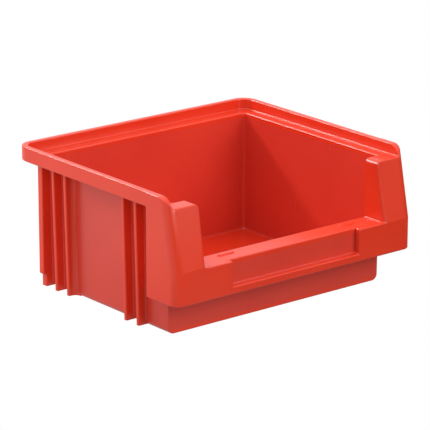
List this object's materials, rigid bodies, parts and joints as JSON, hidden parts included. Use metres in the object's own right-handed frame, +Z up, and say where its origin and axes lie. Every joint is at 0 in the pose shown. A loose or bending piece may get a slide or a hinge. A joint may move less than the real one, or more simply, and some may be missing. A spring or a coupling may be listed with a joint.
{
  "type": "stackable storage bin",
  "caption": "Open-fronted stackable storage bin moulded in red plastic, with a raised stacking rim, ribbed sides, hollow front posts, a low picking lip and a recess for a label.",
  "frame": {"origin": "centre of the bounding box's base, on the plane the bin stands on", "axes": "+Z up; the open picking front with its lip and label recess faces -Y; X runs across the bin, and the right-hand side is +X seen from above with the front towards the viewer"},
  "size_m": [0.102, 0.0886, 0.0485],
  "materials": {
    "red_plastic": "smooth semi-gloss red polypropylene, fine moulded edges with soft highlights"
  },
  "bodies": {
    "root": {"floor": "red_plastic", "left_wall": "red_plastic", "right_wall": "red_plastic", "back_wall": "red_plastic", "front_wall": "red_plastic", "left_ledge": "red_plastic", "right_ledge": "red_plastic", "back_ledge": "red_plastic", "left_rim": "red_plastic", "right_rim": "red_plastic", "back_rim": "red_plastic", "lip": "red_plastic", "label_panel": "red_plastic", "label_pocket": "red_plastic", "left_post": "red_plastic", "right_post": "red_plastic", "left_skirt": "red_plastic", "right_skirt": "red_plastic", "left_ribs": "red_plastic", "right_ribs": "red_plastic", "back_ribs": "red_plastic"}
  },
  "joints": []
}
